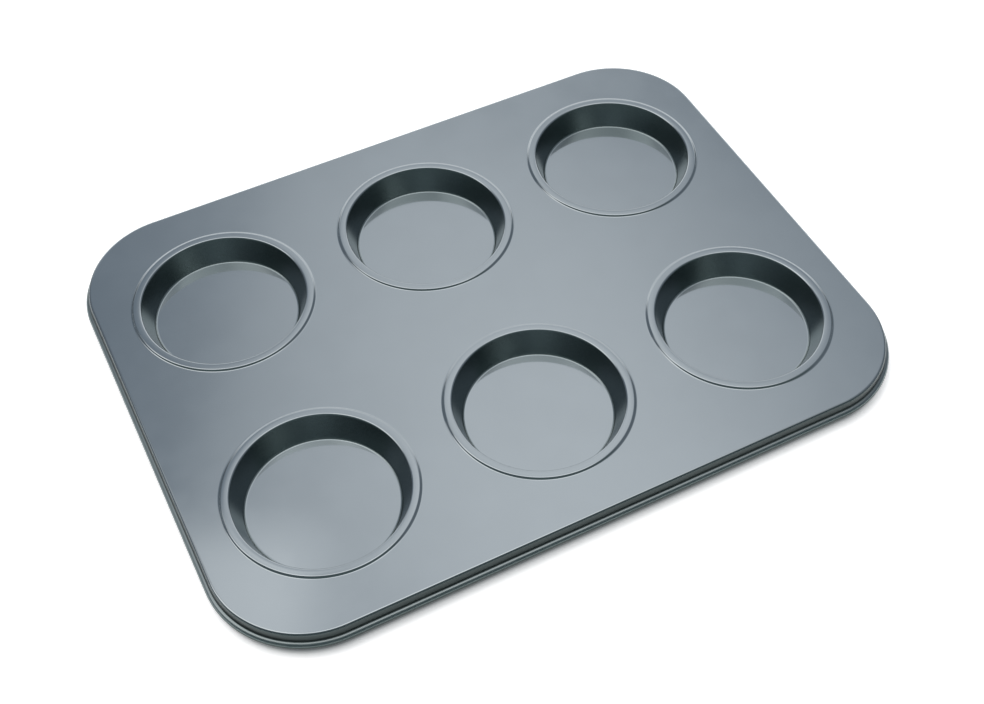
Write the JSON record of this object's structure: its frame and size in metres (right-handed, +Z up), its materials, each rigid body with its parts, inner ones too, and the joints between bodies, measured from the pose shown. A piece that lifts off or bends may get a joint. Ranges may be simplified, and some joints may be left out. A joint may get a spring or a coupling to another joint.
{
  "type": "shallow muffin pan",
  "caption": "Flat rectangular baking pan with shallow round cups in rows, a raised ring round each cup, and a turned-down edge curled round a rim wire.",
  "frame": {"origin": "on the surface that the pan stands on, under the middle of the pan", "axes": "+X along the long side, +Z up out of the cups, +Y to the long side that is furthest from the camera in the picture"},
  "size_m": [0.4, 0.306, 0.0154],
  "materials": {
    "coated_sheet": "glossy blue-grey metallic non-stick coating, baked on both faces of the pressed steel sheet",
    "rim_wire": "bare drawn steel wire, hidden in the curl of the rim"
  },
  "bodies": {
    "root": {"pressed_pan": "coated_sheet", "rim_wire": "rim_wire"}
  },
  "joints": []
}
